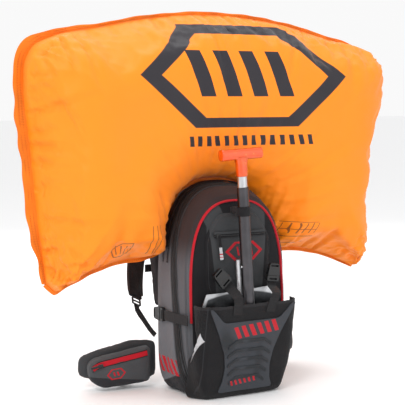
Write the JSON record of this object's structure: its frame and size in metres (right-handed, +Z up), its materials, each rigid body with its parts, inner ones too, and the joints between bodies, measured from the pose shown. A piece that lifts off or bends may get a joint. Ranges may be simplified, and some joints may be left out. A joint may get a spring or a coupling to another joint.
{
  "type": "avalanche airbag backpack",
  "caption": "Clamshell snow-safety backpack with an inflated airbag behind the head, a stowed shovel, hip belt with zipped pouch and buckled straps.",
  "frame": {"origin": "middle of the flat base of the bag, where it stands on the floor", "axes": "+Z up the bag, -Y out of its front face, where the shovel is, +Y towards the wearer, +X to the right seen from the front"},
  "size_m": [1.0386, 0.4059, 0.948],
  "materials": {
    "airbag_cloth": "coated nylon",
    "back_foam": "mesh over foam",
    "black_cloth": "black reinforced cloth",
    "black_plastic": "moulded, slightly glossy",
    "brass": "machined",
    "cylinder_metal": "painted",
    "dial": "printed dial",
    "grey_cloth": "coated polyester cloth",
    "grip_plastic": "translucent moulding",
    "heather_cloth": "heathered polyester cloth",
    "moulded_panel": "moulded rubbery sheet",
    "red_tape": "woven tape",
    "reflective": "reflective tape",
    "shaft_metal": "dark anodised",
    "silver_metal": "brushed",
    "webbing": "woven webbing"
  },
  "bodies": {
    "rear_pack": {"rear_shell": "heather_cloth", "frame_sheet": "black_plastic", "back_panel": "back_foam", "left_shoulder_strap": "back_foam", "left_strap_webbing": "webbing", "left_strap_adjuster": "black_plastic", "right_shoulder_strap": "back_foam", "right_strap_webbing": "webbing", "right_strap_adjuster": "black_plastic", "left_sternum_webbing": "webbing", "sternum_buckle_socket": "black_plastic", "left_side_buckle_socket": "black_plastic", "right_side_buckle_socket": "black_plastic", "valve_head": "brass", "pressure_gauge": "dial", "ejector_housing": "black_plastic", "pressure_hose": "black_plastic", "trigger_cable": "black_plastic", "airbag": "airbag_cloth", "airbag_neck": "airbag_cloth", "burst_zip": "black_plastic", "haul_loop": "webbing"},
    "front_pack": {"front_shell": "grey_cloth", "front_piping": "red_tape", "front_pocket": "grey_cloth", "front_pocket_zip": "black_cloth", "shovel_pocket": "black_cloth", "shovel_pocket_panel": "moulded_panel", "left_pocket_buckle_socket": "black_plastic", "right_pocket_buckle_socket": "black_plastic", "shaft_loop": "black_cloth"},
    "left_pocket_strap": {"left_pocket_buckle_tongue": "black_plastic", "left_pocket_webbing": "webbing"},
    "right_pocket_strap": {"right_pocket_buckle_tongue": "black_plastic", "right_pocket_webbing": "webbing"},
    "left_side_strap": {"left_side_buckle_tongue": "black_plastic", "left_side_webbing": "webbing"},
    "right_side_strap": {"right_side_buckle_tongue": "black_plastic", "right_side_webbing": "webbing"},
    "sternum_strap": {"sternum_buckle_tongue": "black_plastic", "right_sternum_webbing": "webbing"},
    "blade": {"shovel_blade": "silver_metal"},
    "lower_shaft": {"shovel_outer_shaft": "shaft_metal"},
    "upper_shaft": {"shovel_inner_shaft": "silver_metal", "shovel_grip": "grip_plastic"},
    "shaft_lock": {"shaft_button": "silver_metal"},
    "zip_slider": {"front_zip_slider": "black_plastic"},
    "zip_pull": {"front_zip_pull": "reflective"},
    "left_hip": {"left_hip_wing": "back_foam", "left_hip_webbing": "webbing", "hip_buckle_tongue": "black_plastic", "hip_pouch": "grey_cloth"},
    "right_hip": {"right_hip_wing": "back_foam", "right_hip_webbing": "webbing", "hip_buckle_socket": "black_plastic"},
    "pouch_slider": {"hip_pouch_slider": "black_plastic"},
    "cylinder": {"air_cylinder": "cylinder_metal"},
    "needle": {"gauge_needle": "grip_plastic"},
    "flap": {"check_flap": "back_foam"},
    "trigger": {"trigger_handle": "grip_plastic"}
  },
  "joints": [
    {"name": "clamshell_open", "type": "hinge", "parent": "rear_pack", "child": "front_pack", "pos_m": [0, -0.062, 0], "axis": [1, 0, 0], "range_deg": [0, 70]},
    {"name": "left_pocket_release", "type": "slide", "parent": "front_pack", "child": "left_pocket_strap", "axis": [0.6691, 0, -0.7431], "range_m": [0, 0.017]},
    {"name": "right_pocket_release", "type": "slide", "parent": "front_pack", "child": "right_pocket_strap", "axis": [-0.1392, 0, -0.9903], "range_m": [0, 0.017]},
    {"name": "left_side_release", "type": "slide", "parent": "rear_pack", "child": "left_side_strap", "axis": [0, -1, 0], "range_m": [0, 0.017]},
    {"name": "right_side_release", "type": "slide", "parent": "rear_pack", "child": "right_side_strap", "axis": [0, -1, 0], "range_m": [0, 0.017]},
    {"name": "sternum_release", "type": "slide", "parent": "rear_pack", "child": "sternum_strap", "axis": [1, 0, 0], "range_m": [0, 0.017]},
    {"name": "blade_lift", "type": "slide", "parent": "front_pack", "child": "blade", "axis": [-0.0499, 0, 0.9988], "range_m": [0, 0.07]},
    {"name": "shaft_lift", "type": "slide", "parent": "front_pack", "child": "lower_shaft", "axis": [-0.0499, 0.025, 0.9984], "range_m": [0, 0.24]},
    {"name": "shaft_telescope", "type": "slide", "parent": "lower_shaft", "child": "upper_shaft", "axis": [-0.0499, 0.025, 0.9984], "range_m": [0, 0.14]},
    {"name": "button_press", "type": "slide", "parent": "lower_shaft", "child": "shaft_lock", "axis": [0.9988, 0, 0.0499], "range_m": [0, 0.003], "stiffness_N_per_m": 300},
    {"name": "front_zip_slide", "type": "slide", "parent": "front_pack", "child": "zip_slider", "axis": [1, 0, 0], "range_m": [0, 0.12]},
    {"name": "zip_pull_swing", "type": "hinge", "parent": "zip_slider", "child": "zip_pull", "pos_m": [-0.06, -0.09316, 0.3996], "axis": [-1, 0, 0], "range_deg": [-3, 80]},
    {"name": "left_hip_swing", "type": "hinge", "parent": "rear_pack", "child": "left_hip", "pos_m": [-0.126, 0.1125, 0.06], "axis": [0, 0, -1], "range_deg": [-8, 60]},
    {"name": "right_hip_swing", "type": "hinge", "parent": "rear_pack", "child": "right_hip", "pos_m": [0.126, 0.1125, 0.06], "axis": [0, 0, 1], "range_deg": [-8, 60]},
    {"name": "pouch_zip_slide", "type": "slide", "parent": "left_hip", "child": "pouch_slider", "axis": [0.9615, -0.2044, 0.1835], "range_m": [0, 0.112]},
    {"name": "cylinder_turn", "type": "hinge", "parent": "rear_pack", "child": "cylinder", "pos_m": [-0.062, 0.03, 0.12], "axis": [0, 0, 1], "range_deg": [0, 360]},
    {"name": "needle_turn", "type": "hinge", "parent": "rear_pack", "child": "needle", "pos_m": [-0.062, 0.0077, 0.2534], "axis": [0, -1, 0], "range_deg": [-120, 120], "stiffness_Nm_per_rad": 0.002},
    {"name": "flap_swing", "type": "hinge", "parent": "rear_pack", "child": "flap", "pos_m": [0.022, 0.033, 0.398], "axis": [0, 1, 0], "range_deg": [0, 55]},
    {"name": "trigger_pull", "type": "slide", "parent": "rear_pack", "child": "trigger", "axis": [-0.342, 0, -0.9397], "range_m": [0, 0.03]}
  ]
}
